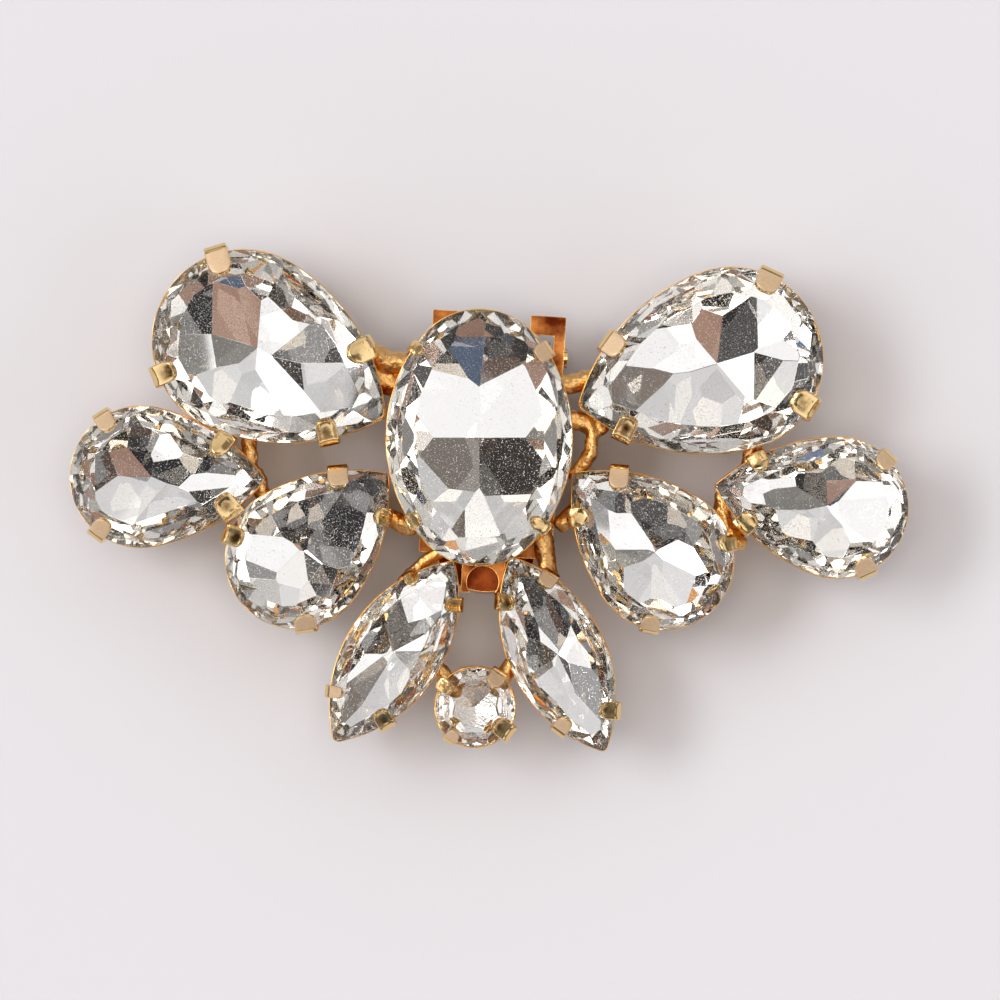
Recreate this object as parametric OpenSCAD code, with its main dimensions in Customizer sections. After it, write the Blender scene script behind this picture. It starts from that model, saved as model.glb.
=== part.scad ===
// Shoe buckle: ten cut glass stones in claw cups, soldered into one spray, on a hinged shoe clip.
// It lies face up on its closed clip. +X is right and +Y is up as it is looked at, +Z faces the eye.

/* [Stones] */
// Width of the centre oval over its cup
oval_w = 13.4; // [12.8:0.1:13.6]
// Length of the centre oval over its cup
oval_l = 18.4; // [17.6:0.1:18.6]
// Radius of the round end of the two upper pears
upper_r = 6.6; // [6.2:0.1:6.7]
// Distance from that round end's centre to the tip of the upper pears
upper_tip = 11.5; // [10.8:0.1:11.6]
// Radius of the round end of the outer and lower pears
small_r = 5.1; // [4.8:0.1:5.2]
// Distance from that round end's centre to the tip of the outer and lower pears
small_tip = 9; // [8.4:0.1:9.1]
// Length of the two navettes, tip to tip
navette_l = 15.7; // [15:0.1:15.8]
// Width of the two navettes
navette_w = 7; // [6.4:0.1:7.2]
// Diameter of the small round stone
round_d = 5.9; // [5.4:0.1:6]

/* [Cups and claws] */
// Height of the flat back of the cups above the surface that the clip lies on
back_z = 4.8; // [4.6:0.1:5.2]
// Thickness of the cups' sheet metal
sheet = 0.5; // [0.4:0.05:0.6]
// Thickness of a claw where it stands off its cup
claw_t = 0.42; // [0.36:0.02:0.46]
// Clearance between a stone and the metal that holds it
seat_gap = 0.08; // [0.06:0.01:0.1]

/* [Clip] */
// Turn of the clip on the back, clockwise from straight
clip_turn = 3.5; // [0:0.5:4]
// Width of the clip's plate over its two ears
plate_w = 9.6; // [9.2:0.1:10]
// Thickness of the clip's plate and ears
plate_t = 0.8; // [0.7:0.05:0.9]
// Distance from the clip's middle to the ends of the fork
fork_end = 10.1; // [9.6:0.1:10.4]
// Distance from the clip's middle to the end of the tongue
tongue_end = 10.1; // [10:0.1:10.6]
// Radius of the hole in the tongue
tongue_hole_r = 1.14; // [0.9:0.02:1.2]
// Radius of the hinge pin
pin_r = 0.5; // [0.4:0.05:0.6]
// Radial clearance of the lever on the pin
pin_gap = 0.05; // [0.03:0.01:0.08]

/* [Hidden] */

GOLD = "#c9a063";
CRYSTAL = "#dfe4ea";

// Each stone: its name, its cut, where its centre lies and the way its tip points.
STONES = [
    ["stone_oval", "oval", -0.8, 4.5, 0],
    ["stone_upper_left", "upper", -17.6, 11.35, -28],
    ["stone_upper_right", "upper", 17.2, 10.1, 197],
    ["stone_outer_left", "outer", -25, 1.7, -1],
    ["stone_outer_right", "outer", 24.8, -0.5, 170],
    ["stone_lower_left", "lower", -13.9, -4.1, 42.5],
    ["stone_lower_right", "lower", 12.35, -4.2, 136.5],
    ["stone_navette_left", "navette", -6.9, -10.8, 56.5],
    ["stone_navette_right", "navette", 4.8, -11, -64],
    ["stone_round", "round", -1.1, -14.8, 0]
];

// Each stone's claws: direction from its centre, from the tip counter-clockwise, width and length over all.
CLAWS = [
    ["stone_oval", [[52, 1.3, 1.3], [126, 0.9, 1.1], [-129, 1.2, 1.1], [-54, 1, 1.6]]],
    ["stone_upper_left", [[25, 1.8, 2.1], [135, 1.7, 2.2], [-130, 1.6, 1.8], [-21, 1.5, 1.9]]],
    ["stone_upper_right", [[18, 1.5, 1.9], [131, 1.8, 1.9], [-132, 1.75, 1.8], [-25, 1.75, 1.6]]],
    ["stone_outer_left", [[25, 1.4, 1.9], [123, 1.3, 1.6], [-126, 1.3, 1.6], [-20, 1.6, 1.8]]],
    ["stone_outer_right", [[21, 1.5, 1.5], [124, 1.5, 1.5], [-125, 1.35, 1.3], [-22, 1.5, 1.4]]],
    ["stone_lower_left", [[22, 1.5, 1.6], [118, 1.4, 1.5], [-124, 1.6, 1.3], [-19, 1.3, 1.3]]],
    ["stone_lower_right", [[19, 1.4, 1.6], [122, 1.4, 1.3], [-122, 1.4, 1.3], [-20, 1.4, 1.8]]],
    ["stone_navette_left", [[22, 1.1, 1.1], [155, 0.9, 1.3], [-152, 1.3, 1.5], [-21, 1.1, 1.3]]],
    ["stone_navette_right", [[20, 1.3, 1.5], [159, 1.3, 1.3], [-158, 1.2, 1.4], [-25, 1.2, 1.4]]],
    ["stone_round", [[55, 1.2, 1.3], [145, 1, 1.2], [-129, 0.9, 1.1], [-37, 1.3, 1.6]]]
];

// Each cut: height of the girdle over the cup's back, height of the crown, the culet's distance from the
// centre towards the tip, and width of the crown from table to girdle.
CUTS = [
    ["oval", 4.5, 1.5, 0, 2],
    ["upper", 4.3, 1.4, 1, 1.9],
    ["outer", 3.7, 1.2, 0.7, 1.5],
    ["lower", 3.7, 1.2, 0.7, 1.5],
    ["navette", 3.2, 0.9, 0, 1.1],
    ["round", 3, 0.8, 0, 0.9]
];

// Solder runs between neighbouring cups, each a chain of beads: x, y, height over the back, radius.
SOLDER = [
    [[-8.9, 10.9, 2.6, 0.7], [-7.4, 9.9, 2.4, 0.9], [-5.6, 9.9, 2.6, 0.7]],
    [[-8.2, 8.9, 2, 0.9], [-6.9, 8.3, 2, 0.9]],
    [[7.9, 9.1, 2.2, 0.6], [6.2, 8.4, 2.4, 0.7], [5.2, 8.3, 2.4, 0.7]],
    [[7.9, 5.2, 2.2, 0.6], [5.8, 5.8, 2.2, 0.7]],
    [[7.3, 5.2, 2.4, 0.5], [7.2, 3.4, 2.4, 0.55], [6, 1.8, 2.2, 0.5]],
    [[-8, -0.9, 2, 0.7], [-5.9, -1.9, 2, 0.7]],
    [[6.6, -0.2, 2, 0.6], [5.2, -1.6, 2, 0.7]],
    [[-17.3, 4.8, 2, 0.6], [-17.2, 2.6, 2, 0.6]],
    [[-16.8, 1.7, 2, 0.7], [-16.1, 0, 2, 0.6]],
    [[18.9, 4.3, 2, 0.7], [18.5, 2.6, 2, 0.6]],
    [[16.6, 0.2, 2, 0.6], [16.6, -1.5, 2, 0.7], [17.7, -3, 2, 0.7]],
    [[3.7, -2.6, 2, 0.8], [4.3, -5.9, 2, 0.6]],
    [[-3.2, -3.4, 2, 0.5], [-4.7, -4.3, 2, 0.45], [-6.3, -5.8, 2, 0.45]],
    [[-3.6, -12.2, 2, 0.6], [-2.6, -13.6, 2, 0.6]],
    [[1.5, -11.8, 2, 0.6], [0.5, -13.2, 2, 0.6]]
];

tip_round = 0.45;
girdle_t = 0.24;
rim_drop = 0.4;
girdle_sides = 24;
root_depth = 0.35;
root_rise = 0.25;

// The outline of each cut as arcs, counter-clockwise from its tip: centre x, centre y, radius, from, to.

// Distance from the round end's centre to the centre of a pear's side arc, which leaves it at angle phi
function side_shift(r, tip, phi) = (tip * tip - r * r) / (2 * (r - tip * cos(phi)));

function pear_arcs(r, tip, phi) =
    let (
        q = side_shift(r, tip, phi),
        cx = -q * cos(phi),
        cy = -q * sin(phi),
        tip_x = cx + sqrt(pow(r + q - tip_round, 2) - cy * cy),
        turn = atan2(-cy, tip_x - cx)
    )
    [
        [tip_x, 0, tip_round, -turn, turn],
        [cx, cy, r + q, turn, phi],
        [0, 0, r, phi, 360 - phi],
        [cx, -cy, r + q, 360 - phi, 360 - turn]
    ];

function navette_arcs(half_l, half_w) =
    let (
        k = (half_l * half_l - half_w * half_w) / (2 * half_w),
        r = half_w + k,
        tip_x = sqrt(pow(r - tip_round, 2) - k * k),
        turn = atan2(k, tip_x)
    )
    [
        [tip_x, 0, tip_round, -turn, turn],
        [0, -k, r, turn, 180 - turn],
        [-tip_x, 0, tip_round, 180 - turn, 180 + turn],
        [0, k, r, 180 + turn, 360 - turn]
    ];

function oval_arcs(half_w, half_l) =
    let (
        end_r = 0.79 * half_w,
        rise = half_l - end_r,
        side_r = (half_w * half_w + rise * rise - end_r * end_r) / (2 * (half_w - end_r)),
        turn = atan2(rise, side_r - half_w)
    )
    [
        [half_w - side_r, 0, side_r, -turn, turn],
        [0, rise, end_r, turn, 180 - turn],
        [side_r - half_w, 0, side_r, 180 - turn, 180 + turn],
        [0, -rise, end_r, 180 + turn, 360 - turn]
    ];

function arcs(cut) =
    cut == "oval" ? oval_arcs(oval_w / 2, oval_l / 2)
    : cut == "upper" ? pear_arcs(upper_r, upper_tip, 87)
    : cut == "outer" ? pear_arcs(small_r, small_tip, 78)
    : cut == "lower" ? pear_arcs(small_r, small_tip, 80)
    : cut == "navette" ? navette_arcs(navette_l / 2, navette_w / 2)
    : [[0, 0, round_d / 2, 0, 360]];

function cut_row(cut) = CUTS[search([cut], CUTS)[0]];
function girdle_z(cut) = back_z + cut_row(cut)[1];
function crown_h(cut) = cut_row(cut)[2];
function culet(cut) = [cut_row(cut)[3], 0];
function crown_w(cut) = cut_row(cut)[4];

// Where a ray from a centre at angle a meets one arc
function arc_hit(arc, from, a) =
    let (
        u = [cos(a), sin(a)],
        c = [arc[0], arc[1]] - from,
        along = u * c
    )
    from + u * (along + sqrt(max(0, along * along - c * c + arc[2] * arc[2])));

// The angle of a point about an arc's centre, counted on from the arc's start
function arc_angle(arc, p) =
    let (a = atan2(p[1] - arc[1], p[0] - arc[0]) - arc[3])
    a - 360 * floor(a / 360);

// The point of the outline that a ray at angle a meets, and the outline's outward normal there
function outline_hit(cut, from, a) =
    [for (arc = arcs(cut))
        let (p = arc_hit(arc, from, a), turn = arc_angle(arc, p))
        if (turn <= arc[4] - arc[3] + 0.001)
            [p[0], p[1], arc[3] + turn]
    ][0];

// The outline's points, set in by a distance, at even angles about the culet
function ring(cut, inset, sides, start = 0) =
    [for (i = [0 : sides - 1])
        let (h = outline_hit(cut, culet(cut), start + 360 * i / sides))
        [h[0] - inset * cos(h[2]), h[1] - inset * sin(h[2])]
    ];

// A ring drawn towards the culet to a share of its size, at one height
function level(cut, points, share, z) =
    [for (p = points)
        let (q = culet(cut) + share * (p - culet(cut)))
        [q[0], q[1], z]
    ];

// The spray's own middle lies over the origin.
spray_shift = [0.1, -0.19];

module placed(row) {
    translate([row[2] + spray_shift[0], row[3] + spray_shift[1], 0])
        rotate([0, 0, row[4]])
        children();
}

// A cut stone: table, star and crown facets, girdle, two rows of pavilion facets and a culet point.
// grow makes the room that its setting keeps clear around it.
module cut_stone(cut, grow) {
    zg = girdle_z(cut);
    top = zg + girdle_t / 2;
    bottom = zg - girdle_t / 2;
    depth = cut_row(cut)[1] - sheet - 0.3;
    even = ring(cut, seat_gap - grow, girdle_sides);
    between = ring(cut, seat_gap - grow, 8, 22.5);
    table = ring(cut, seat_gap - grow + crown_w(cut), 8);
    crown = ring(cut, seat_gap - grow + 0.45 * crown_w(cut), 8, 22.5);
    points = concat(
        level(cut, table, 1, top + crown_h(cut) + grow),
        level(cut, crown, 1, top + 0.55 * crown_h(cut) + grow),
        level(cut, even, 1, top + grow),
        level(cut, even, 1, bottom - grow),
        level(cut, between, 0.55, bottom - 0.62 * depth - grow),
        level(cut, [culet(cut)], 1, bottom - depth - grow)
    );
    hull()
        polyhedron(points, [[for (i = [0 : len(points) - 1]) i]]);
}

module stone(name) {
    row = STONES[search([name], STONES)[0]];
    color(CRYSTAL)
        placed(row)
        cut_stone(row[1], 0);
}

module outline_2d(cut) {
    polygon([for (arc = arcs(cut))
        let (steps = max(2, ceil((arc[4] - arc[3]) * arc[2] / 60)))
        for (i = [0 : steps - 1])
            let (a = arc[3] + (arc[4] - arc[3]) * i / steps)
            [arc[0] + arc[2] * cos(a), arc[1] + arc[2] * sin(a)]
    ]);
}

// A cup's outer block, from its flat back up to the rim that the stone sits on
module cup_block(cut) {
    translate([0, 0, back_z])
        linear_extrude(girdle_z(cut) - girdle_t / 2 - rim_drop - back_z)
        outline_2d(cut);
}

// The hollow inside a cup, and the open back that shows the stone's foil
module cup_hollow(cut) {
    translate([0, 0, back_z + sheet])
        linear_extrude(10)
        offset(delta = -sheet)
        outline_2d(cut);
    translate([0, 0, back_z - 1])
        linear_extrude(10)
        offset(delta = cut == "round" ? -1.4 : -1.9)
        outline_2d(cut);
}

// A claw: a strip that stands on the cup's wall and is folded over the crown, with a rounded end
module claw(cut, width, length) {
    zg = girdle_z(cut) + girdle_t / 2;
    reach = length - claw_t;
    lean = 0.9 * crown_h(cut) / crown_w(cut);
    intersection() {
        rotate([90, 0, 0])
            linear_extrude(width, center = true)
            polygon([
                [-root_depth, back_z + root_rise],
                [0.2, back_z + root_rise],
                [claw_t - 0.02, back_z + 1.2],
                [claw_t, zg + 0.1],
                [0.28, zg + 0.55],
                [-0.15, zg + 0.82],
                [-reach, zg + 0.82 + lean * (reach - 0.15)],
                [-reach, zg - 0.2 + lean * (reach - 0.15)],
                [-0.2, zg],
                [-root_depth, zg - girdle_t - rim_drop - 0.3]
            ]);
        hull() {
            translate([2, 0, 0])
                cylinder(h = 20, r = width / 2, $fn = 14);
            translate([width / 2 - reach, 0, 0])
                cylinder(h = 20, r = width / 2, $fn = 14);
        }
    }
}

module claws(row) {
    rows = CLAWS[search([row[0]], CLAWS)[0]][1];
    for (c = rows) {
        hit = outline_hit(row[1], [0, 0], c[0]);
        translate([hit[0], hit[1], 0])
            rotate([0, 0, hit[2]])
            claw(row[1], c[1], c[2]);
    }
}

module solder_run(beads) {
    for (i = [1 : len(beads) - 1])
        hull()
            for (b = [beads[i - 1], beads[i]])
                translate([b[0] + spray_shift[0], b[1] + spray_shift[1], back_z + b[2]])
                    sphere(b[3], $fn = 8);
}

// Ten stamped cups, their claws and the solder between them, one piece of metal
module setting_frame() {
    color(GOLD)
        difference() {
            union() {
                for (row = STONES)
                    placed(row) {
                        cup_block(row[1]);
                        claws(row);
                    }
                for (beads = SOLDER)
                    solder_run(beads);
            }
            for (row = STONES)
                placed(row) {
                    cup_hollow(row[1]);
                    cut_stone(row[1], seat_gap);
                }
        }
}

// The clip lies on the back, a little askew, with its hinge across the fork end.
clip_mid = [0.05, 3.4];
hinge_y = 7.2;
hinge_z = 1.5;
ear_r = 1.15;
plate_z = back_z - plate_t;
fork_w = 2.55;
fork_gap_end = 5.2;
hook_h = 1.4;
tongue_w = 3.1;
tongue_x = -0.05;
shoulder_y = -7.4;
hole_y = -9.3;
ear_gap = 0.15;
lever_w = plate_w - 2 * plate_t - 2 * ear_gap;
lever_t = 0.8;
lever_end = -10.1;
barrel_r = 1.1;
tooth_h = 0.5;
teeth = 7;
rivet_head = 0.25;

module on_clip() {
    translate([clip_mid[0] + spray_shift[0], clip_mid[1] + spray_shift[1], 0])
        rotate([0, 0, -clip_turn])
        children();
}

module across(x, length, r) {
    translate([x, hinge_y, hinge_z])
        rotate([0, 90, 0])
        cylinder(h = length, r = r, $fn = 48);
}

// The plate's flat shape: a fork with two hooked ends, a body, and a tongue.
// The tongue's round hole breaks through its end.
module plate_2d() {
    difference() {
        union() {
            translate([-plate_w / 2, shoulder_y])
                square([plate_w, fork_end - shoulder_y]);
            translate([tongue_x - tongue_w / 2, -tongue_end])
                square([tongue_w, tongue_end]);
        }
        translate([fork_w - plate_w / 2, fork_gap_end])
            square([plate_w - 2 * fork_w, fork_end]);
        translate([plate_t - plate_w / 2, fork_gap_end])
            square([plate_w - 2 * plate_t, fork_end - hook_h - fork_gap_end]);
        translate([tongue_x, hole_y])
            circle(tongue_hole_r, $fn = 48);
    }
}

module ear(side) {
    x = side > 0 ? plate_w / 2 - plate_t : -plate_w / 2;
    across(x, plate_t, ear_r);
    translate([x, hinge_y - ear_r, hinge_z])
        cube([plate_t, 2 * ear_r, plate_z - hinge_z + 0.1]);
}

// The plate that the cups are soldered to, with the two ears that carry the hinge pin
module clip_base() {
    color(GOLD)
        on_clip()
        difference() {
            union() {
                translate([0, 0, plate_z])
                    linear_extrude(plate_t)
                    plate_2d();
                ear(1);
                ear(-1);
            }
            across(-plate_w, 2 * plate_w, pin_r + 0.02);
        }
}

// The row of teeth that grips the leather under the plate
module cam_2d() {
    pitch = lever_w / teeth;
    top = plate_z - hinge_z - 0.3;
    polygon(concat(
        [[-lever_w / 2, 0]],
        [for (i = [0 : teeth - 1])
            each [
                [-lever_w / 2 + i * pitch, top - tooth_h],
                [-lever_w / 2 + (i + 0.5) * pitch, top]
            ]
        ],
        [[lever_w / 2, top - tooth_h], [lever_w / 2, 0]]
    ));
}

// The lever: a flat thumb plate, a barrel around the pin and a toothed cam
module clip_lever() {
    color(GOLD)
        on_clip()
        difference() {
            union() {
                across(-lever_w / 2, lever_w, barrel_r);
                translate([-lever_w / 2, lever_end + lever_w / 2, 0])
                    cube([lever_w, hinge_y - lever_end - lever_w / 2, lever_t]);
                translate([0, lever_end + lever_w / 2, 0])
                    cylinder(h = lever_t, r = lever_w / 2, $fn = 64);
                translate([0, hinge_y + 0.4, hinge_z])
                    rotate([90, 0, 0])
                    linear_extrude(0.8)
                    cam_2d();
            }
            across(-plate_w, 2 * plate_w, pin_r + pin_gap);
        }
}

// The riveted hinge pin
module clip_pin() {
    color(GOLD)
        on_clip() {
            across(-plate_w / 2 - 0.02, plate_w + 0.04, pin_r);
            across(-plate_w / 2 - rivet_head - 0.02, rivet_head, 0.8);
            across(plate_w / 2 + 0.02, rivet_head, 0.8);
        }
}

setting_frame();
stone("stone_oval");  // stone_oval
stone("stone_upper_left");  // stone_upper_left
stone("stone_upper_right");  // stone_upper_right
stone("stone_outer_left");  // stone_outer_left
stone("stone_outer_right");  // stone_outer_right
stone("stone_lower_left");  // stone_lower_left
stone("stone_lower_right");  // stone_lower_right
stone("stone_navette_left");  // stone_navette_left
stone("stone_navette_right");  // stone_navette_right
stone("stone_round");  // stone_round
clip_base();
clip_lever();
clip_pin();
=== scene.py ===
"""Shoe buckle: ten foiled glass stones in gilt claw cups, a soldered spray on a hinged clip."""
import math
import random

import bmesh
import bpy
from mathutils import Matrix, Vector, noise


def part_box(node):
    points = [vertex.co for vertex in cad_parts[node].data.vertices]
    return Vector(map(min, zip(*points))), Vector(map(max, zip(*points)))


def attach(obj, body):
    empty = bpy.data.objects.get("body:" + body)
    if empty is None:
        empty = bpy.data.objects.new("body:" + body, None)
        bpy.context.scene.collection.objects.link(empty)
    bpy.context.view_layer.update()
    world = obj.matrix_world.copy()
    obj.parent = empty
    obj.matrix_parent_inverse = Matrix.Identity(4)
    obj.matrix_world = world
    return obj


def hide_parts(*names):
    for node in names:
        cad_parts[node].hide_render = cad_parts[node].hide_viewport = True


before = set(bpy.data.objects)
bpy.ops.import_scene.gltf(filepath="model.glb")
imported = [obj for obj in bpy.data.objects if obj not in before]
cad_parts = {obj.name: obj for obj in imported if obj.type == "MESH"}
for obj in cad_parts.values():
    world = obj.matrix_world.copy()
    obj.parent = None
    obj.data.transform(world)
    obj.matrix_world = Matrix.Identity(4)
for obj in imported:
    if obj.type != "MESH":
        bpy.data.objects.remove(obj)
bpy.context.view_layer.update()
MM = 0.001

# Claw cups. Each stone sits in a stamped brass cup with a flat open back and a rim under its
# girdle, gold plated and polished. The outline is made of arcs, so an even wall follows it.
BACK_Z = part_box("setting_frame")[0].z / MM
TIP_ROUND = 0.45  # radius of a pear's or navette's tip
LEAST_ROUND = 0.04  # what is left of it on the innermost outlines
SHEET = 0.5
SEAT_GAP = 0.08  # between a stone and its cup
GIRDLE_T = 0.24
RIM_DROP = 0.4  # the rim's depth under the girdle
SPRAY_SHIFT = (0.1, -0.19)  # puts the middle of the whole spray at the frame's origin
OUTLINE_STEP = 0.55  # length of an outline's straight pieces

# Each cut: girdle over the back, crown height, culet from the centre towards the tip, and how far
# in from the wall the back is open
CUTS = {
    "oval": {"girdle": 4.5, "crown": 1.5, "culet": 0.0, "opening": 1.9},
    "upper": {"girdle": 4.3, "crown": 1.4, "culet": 1.0, "opening": 1.9},
    "outer": {"girdle": 3.7, "crown": 1.2, "culet": 0.7, "opening": 1.9},
    "lower": {"girdle": 3.7, "crown": 1.2, "culet": 0.7, "opening": 1.9},
    "navette": {"girdle": 3.2, "crown": 0.9, "culet": 0.0, "opening": 1.9},
    "round": {"girdle": 3.0, "crown": 0.8, "culet": 0.0, "opening": 1.4},
}
# Each cut: the crown's width from table to girdle, the main facets' edges round the culet in
# degrees from the tip, and the crown facets' middles
FACETS = {
    "oval": (2.0, (0, 90, 180, 270), (0, 45, 90, 135, 180, 225, 270, 315)),
    "upper": (1.9, (0, 66, 113, 180, 247, 294), (0, 42, 84, 132, 180, 228, 276, 318)),
    "outer": (1.5, (22, 78, 130, 180, 230, 282, 338), (0, 42, 84, 132, 180, 228, 276, 318)),
    "lower": (1.5, (22, 78, 130, 180, 230, 282, 338), (0, 42, 84, 132, 180, 228, 276, 318)),
    "navette": (
        1.1, (0, 28, 55, 90, 125, 152, 180, 208, 235, 270, 305, 332),
        (0, 40, 90, 140, 180, 220, 270, 320),
    ),
    "round": (0.9, (0, 45, 90, 135, 180, 225, 270, 315), (22, 67, 112, 157, 202, 247, 292, 337)),
}
# Each stone: its cut, its centre and the way its tip points
STONES = {
    "stone_oval": ("oval", -0.8, 4.5, 0),
    "stone_upper_left": ("upper", -17.6, 11.35, -28),
    "stone_upper_right": ("upper", 17.2, 10.1, 197),
    "stone_outer_left": ("outer", -25, 1.7, -1),
    "stone_outer_right": ("outer", 24.8, -0.5, 170),
    "stone_lower_left": ("lower", -13.9, -4.1, 42.5),
    "stone_lower_right": ("lower", 12.35, -4.2, 136.5),
    "stone_navette_left": ("navette", -6.9, -10.8, 56.5),
    "stone_navette_right": ("navette", 4.8, -11, -64),
    "stone_round": ("round", -1.1, -14.8, 0),
}


def pear_arcs(radius, tip, degrees, inset):
    """A pear's outline: its tip, a side, the round end and the other side, set in by a distance.
    The sides leave the round end at so many degrees from the tip."""
    leave = math.radians(degrees)
    shift = (tip**2 - radius**2) / (2 * (radius - tip * math.cos(leave)))
    cx, cy = -shift * math.cos(leave), -shift * math.sin(leave)
    side, point = radius + shift - inset, max(TIP_ROUND - inset, LEAST_ROUND)
    tip_x = cx + math.sqrt((side - point) ** 2 - cy**2)
    turn = math.atan2(-cy, tip_x - cx)
    return [
        (tip_x, 0, point, -turn, turn),
        (cx, cy, side, turn, leave),
        (0, 0, radius - inset, leave, math.tau - leave),
        (cx, -cy, side, math.tau - leave, math.tau - turn),
    ]


def navette_arcs(half_length, half_width, inset):
    """A navette's outline: a tip, a side, the other tip and the other side."""
    drop = (half_length**2 - half_width**2) / (2 * half_width)
    side, point = half_width + drop - inset, max(TIP_ROUND - inset, LEAST_ROUND)
    tip_x = math.sqrt((side - point) ** 2 - drop**2)
    turn = math.atan2(drop, tip_x)
    return [
        (tip_x, 0, point, -turn, turn),
        (0, -drop, side, turn, math.pi - turn),
        (-tip_x, 0, point, math.pi - turn, math.pi + turn),
        (0, drop, side, math.pi + turn, math.tau - turn),
    ]


OVAL_END = 0.79  # an oval's end radius as a share of half its width


def oval_arcs(half_width, half_length, inset):
    """An oval's outline: two flat sides and two round ends."""
    end = OVAL_END * half_width
    rise = half_length - end
    side = (half_width**2 + rise**2 - end**2) / (2 * (half_width - end))
    turn = math.atan2(rise, side - half_width)
    return [
        (half_width - side, 0, side - inset, -turn, turn),
        (0, rise, end - inset, turn, math.pi - turn),
        (side - half_width, 0, side - inset, math.pi - turn, math.pi + turn),
        (0, -rise, end - inset, math.pi + turn, math.tau - turn),
    ]


def arcs(cut, inset=0.0):
    """The arcs of a cut's outline in mm, counter-clockwise: centre, radius, from and to angles."""
    if cut == "oval":
        return oval_arcs(6.7, 9.2, inset)
    if cut == "upper":
        return pear_arcs(6.6, 11.5, 87, inset)
    if cut == "outer":
        return pear_arcs(5.1, 9.0, 78, inset)
    if cut == "lower":
        return pear_arcs(5.1, 9.0, 80, inset)
    if cut == "navette":
        return navette_arcs(7.85, 3.5, inset)
    return [(0, 0, 2.95 - inset, 0, math.tau)]


def ring(cut, inset):
    """Points round the outline. The same point of any two rings of one cut lies on the same arc."""
    points = []
    for (_, _, full, start, end), (cx, cy, radius, a, b) in zip(arcs(cut), arcs(cut, inset)):
        steps = max(6, round((end - start) * full / OUTLINE_STEP))
        for i in range(steps):
            t = a + (b - a) * i / steps
            points.append(Vector((cx + radius * math.cos(t), cy + radius * math.sin(t), 0)))
    return points


def outline_hit(cut, degrees, start=0.0, inset=0.0):
    """Where a ray from (start, 0) leaves the outline, and the outline's outward normal there."""
    ray = Vector((math.cos(math.radians(degrees)), math.sin(math.radians(degrees))))
    for cx, cy, radius, a, b in arcs(cut, inset):
        centre = Vector((cx - start, cy))
        along = ray.dot(centre)
        reach = along + math.sqrt(max(0, along**2 - centre.length_squared + radius**2))
        point = Vector((start, 0)) + ray * reach
        turn = (math.atan2(point.y - cy, point.x - cx) - a) % math.tau
        if turn <= b - a + 1e-4:
            return point, a + turn
    raise ValueError(f"no outline of {cut} at {degrees} degrees")


def placing(stone):
    """The matrix that puts a stone's own millimetres into the frame's metres."""
    _, x, y, turn = STONES[stone]
    place = Matrix.Translation((x + SPRAY_SHIFT[0], y + SPRAY_SHIFT[1], 0))
    return Matrix.Scale(MM, 4) @ place @ Matrix.Rotation(math.radians(turn), 4, "Z")


def loft(bm, rings, closed):
    """Faces between rings of points that lie one after another, and back to the first if closed."""
    loops = [[bm.verts.new(p) for p in points] for points in rings]
    pairs = list(zip(loops, loops[1:] + loops[:1] if closed else loops[1:]))
    for low, high in pairs:
        for i in range(len(low)):
            j = (i + 1) % len(low)
            bm.faces.new((low[i], low[j], high[j], high[i]))
    return loops


def finished(name, bm, matrix=None):
    """A mesh object from a bmesh, its normals outwards and its place in its mesh."""
    bmesh.ops.recalc_face_normals(bm, faces=bm.faces)
    mesh = bpy.data.meshes.new(name)
    bm.to_mesh(mesh)
    bm.free()
    if matrix is not None:
        mesh.transform(matrix)
    piece = bpy.data.objects.new(name, mesh)
    bpy.context.scene.collection.objects.link(piece)
    return piece


def srgb(code):
    """A colour as written on screen, #rrggbb, turned to linear light."""
    parts = [int(code[i : i + 2], 16) / 255 for i in (1, 3, 5)]
    return [p / 12.92 if p <= 0.04045 else ((p + 0.055) / 1.055) ** 2.4 for p in parts] + [1]


def add(tree, kind, inputs=None, **settings):
    """One node with its settings; an input is a value or the socket that feeds it."""
    made = tree.nodes.new(kind)
    for key, value in settings.items():
        setattr(made, key, value)
    for key, value in (inputs or {}).items():
        if isinstance(value, bpy.types.NodeSocket):
            tree.links.new(value, made.inputs[key])
        else:
            made.inputs[key].default_value = value
    return made


def blank_material(name):
    """A material with only its output, and that output."""
    made = bpy.data.materials.new(name)
    made.use_nodes = True
    made.node_tree.nodes.clear()
    return made, made.node_tree, made.node_tree.nodes.new("ShaderNodeOutputMaterial")


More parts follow.
